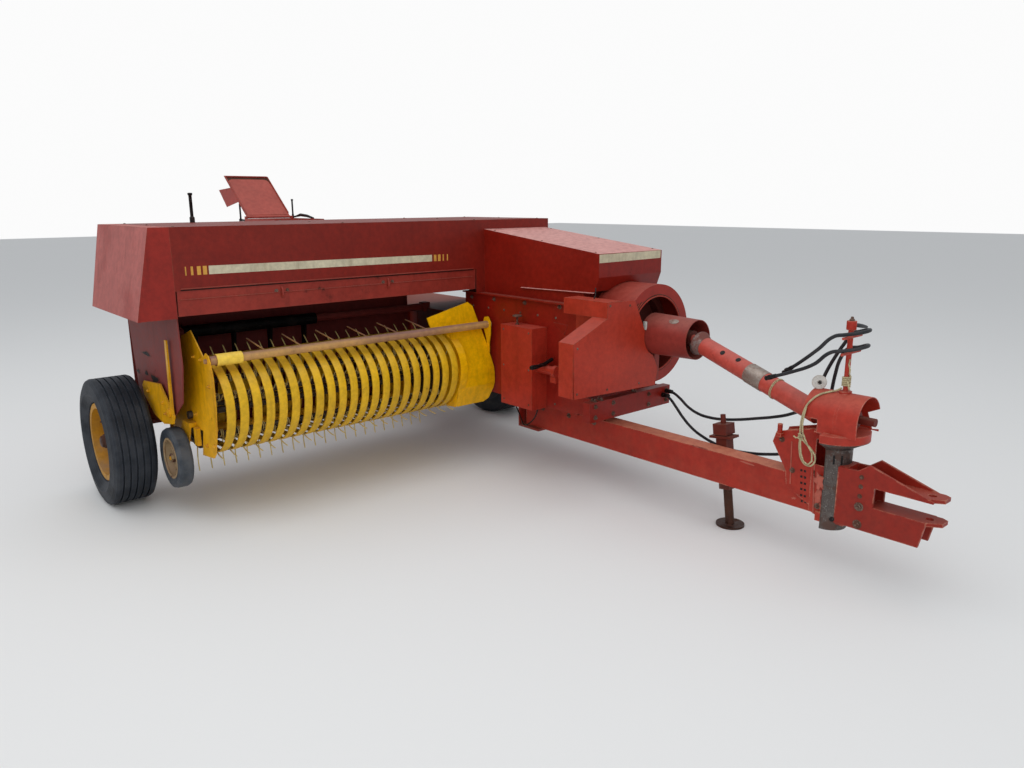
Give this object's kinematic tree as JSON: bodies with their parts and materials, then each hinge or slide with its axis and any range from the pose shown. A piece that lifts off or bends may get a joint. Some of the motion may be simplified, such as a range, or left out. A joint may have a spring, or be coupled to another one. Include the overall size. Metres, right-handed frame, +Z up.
{
  "type": "square baler",
  "caption": "Towed square baler: bale chamber, feeder under a long shroud, raised pickup with spring tines, flywheel, drive line cover, swinging tongue, jack, two wheels.",
  "frame": {"origin": "on the ground, under the middle of the machine's length and width", "axes": "+X forward to the hitch, +Y to the machine's left, +Z up"},
  "size_m": [5.405, 3.0546, 1.7948],
  "materials": {
    "chamber_paint": "faded, rusting paint",
    "case_paint": "faded paint",
    "hood_paint": "faded, chalky paint",
    "housing_paint": "dusty paint",
    "shroud_paint": "faded paint",
    "flap_paint": "faded paint",
    "cap_paint": "sun-bleached paint",
    "axle_paint": "worn paint",
    "shield_paint": "faded paint",
    "drive_paint": "worn paint",
    "tongue_paint": "worn paint",
    "jack_paint": "worn paint",
    "box_paint": "faded paint",
    "rim_paint": "worn yellow paint",
    "pickup_paint": "glossy yellow paint",
    "guard_paint": "rusty yellow paint",
    "gauge_paint": "dull cream paint",
    "tyre": "worn",
    "gauge_rubber": "worn",
    "reel_steel": "polished by hay, rusting",
    "bare_steel": "worn",
    "knotter_steel": "oily",
    "flywheel_iron": "rough",
    "gearbox_iron": "rough",
    "hose_rubber": "matt",
    "rope": "weathered twine"
  },
  "bodies": {
    "base": {"bale_chamber": "chamber_paint", "plunger_case": "case_paint", "hood": "hood_paint", "gearbox": "gearbox_iron", "feeder_housing": "housing_paint", "shroud": "shroud_paint", "flap": "flap_paint", "end_cap": "cap_paint", "axle": "axle_paint", "axle_ends": "axle_paint", "flywheel_shield": "shield_paint", "front_shield": "shield_paint", "side_box": "shield_paint", "drive_bell": "shield_paint", "latch_rail": "axle_paint", "twine_box": "box_paint", "knotter": "knotter_steel", "tension_rails": "axle_paint"},
    "right_wheel": {"right_tyre": "tyre", "right_rim": "rim_paint"},
    "left_wheel": {"left_tyre": "tyre", "left_rim": "rim_paint"},
    "pickup": {"pickup_frame": "pickup_paint", "stripper_bands": "pickup_paint", "pickup_flare": "pickup_paint"},
    "reel": {"reel": "reel_steel"},
    "gauge_wheel": {"gauge_tyre": "gauge_rubber", "gauge_rim": "gauge_paint"},
    "wind_guard": {"wind_guard": "guard_paint"},
    "flywheel": {"flywheel": "flywheel_iron"},
    "tongue": {"tongue": "tongue_paint", "hitch_clevis": "tongue_paint", "jack_tube": "jack_paint", "drive_cover": "drive_paint", "hose_post": "tongue_paint", "hose_lift": "hose_rubber", "hose_tension": "hose_rubber", "trip_rope": "rope"},
    "drive_line": {"drive_tube": "drive_paint"},
    "stub": {"drive_stub": "bare_steel"},
    "jack": {"jack_leg": "bare_steel"},
    "needles": {"needle_yoke": "axle_paint"},
    "star_wheel": {"star_wheel": "bare_steel"},
    "twine_lid": {"twine_lid": "box_paint"},
    "feeder": {"feeder_carriage": "bare_steel"}
  },
  "joints": [
    {"name": "right_wheel_spin", "type": "hinge", "parent": "base", "child": "right_wheel", "pos_m": [-0.7525, -1.41125, 0.344], "axis": [0, 1, 0], "continuous": true},
    {"name": "left_wheel_spin", "type": "hinge", "parent": "base", "child": "left_wheel", "pos_m": [-0.8725, 1.38225, 0.394], "axis": [0, 1, 0], "continuous": true},
    {"name": "pickup_lift", "type": "hinge", "parent": "base", "child": "pickup", "pos_m": [-0.6525, -0.42925, 0.62], "axis": [0, 1, 0], "range_deg": [0, 14]},
    {"name": "reel_spin", "type": "hinge", "parent": "pickup", "child": "reel", "pos_m": [-0.2475, -0.42425, 0.542], "axis": [0, 1, 0], "continuous": true},
    {"name": "gauge_wheel_spin", "type": "hinge", "parent": "pickup", "child": "gauge_wheel", "pos_m": [-0.3025, -1.24725, 0.316], "axis": [0, 1, 0], "continuous": true},
    {"name": "wind_guard_lift", "type": "hinge", "parent": "pickup", "child": "wind_guard", "pos_m": [0.0375, -0.30925, 0.862], "axis": [0, 1, 0], "range_deg": [0, 40]},
    {"name": "flywheel_spin", "type": "hinge", "parent": "base", "child": "flywheel", "pos_m": [0.9475, 0.87075, 0.9], "axis": [1, 0, 0], "continuous": true},
    {"name": "tongue_swing", "type": "hinge", "parent": "base", "child": "tongue", "pos_m": [0.3475, 0.70075, 0.34], "axis": [0, 0, 1], "range_deg": [-14, 8], "deforming": ["hose_lift", "hose_tension"]},
    {"name": "drive_line_swing", "type": "hinge", "parent": "base", "child": "drive_line", "pos_m": [1.3475, 0.87075, 0.9], "axis": [0, 0, 1], "range_deg": [-29.5, 16.9]},
    {"name": "drive_stub_spin", "type": "hinge", "parent": "tongue", "child": "stub", "pos_m": [2.2875, 0.70075, 0.705], "axis": [1, 0, 0], "continuous": true},
    {"name": "jack_extend", "type": "slide", "parent": "tongue", "child": "jack", "axis": [-0.1392, 0, 0.9903], "range_m": [0, 0.165]},
    {"name": "needle_lift", "type": "hinge", "parent": "base", "child": "needles", "pos_m": [-1.1525, 0.87075, 0.7], "axis": [0, 1, 0], "range_deg": [0, 48]},
    {"name": "star_wheel_spin", "type": "hinge", "parent": "base", "child": "star_wheel", "pos_m": [-2.0825, 0.87075, 0.985], "axis": [0, 1, 0], "continuous": true},
    {"name": "twine_lid_hinge", "type": "hinge", "parent": "base", "child": "twine_lid", "pos_m": [-1.7495, -0.01175, 1.5], "axis": [0, 1, 0], "range_deg": [0, 141]},
    {"name": "feeder_stroke", "type": "slide", "parent": "base", "child": "feeder", "axis": [0, 1, 0], "range_m": [0, 0.7]}
  ],
  "couplings": [
    {"joint": "drive_line_swing", "follows": "tongue_swing", "ratio": 2.1},
    {"joint": "drive_stub_spin", "follows": "flywheel_spin", "ratio": 1}
  ]
}
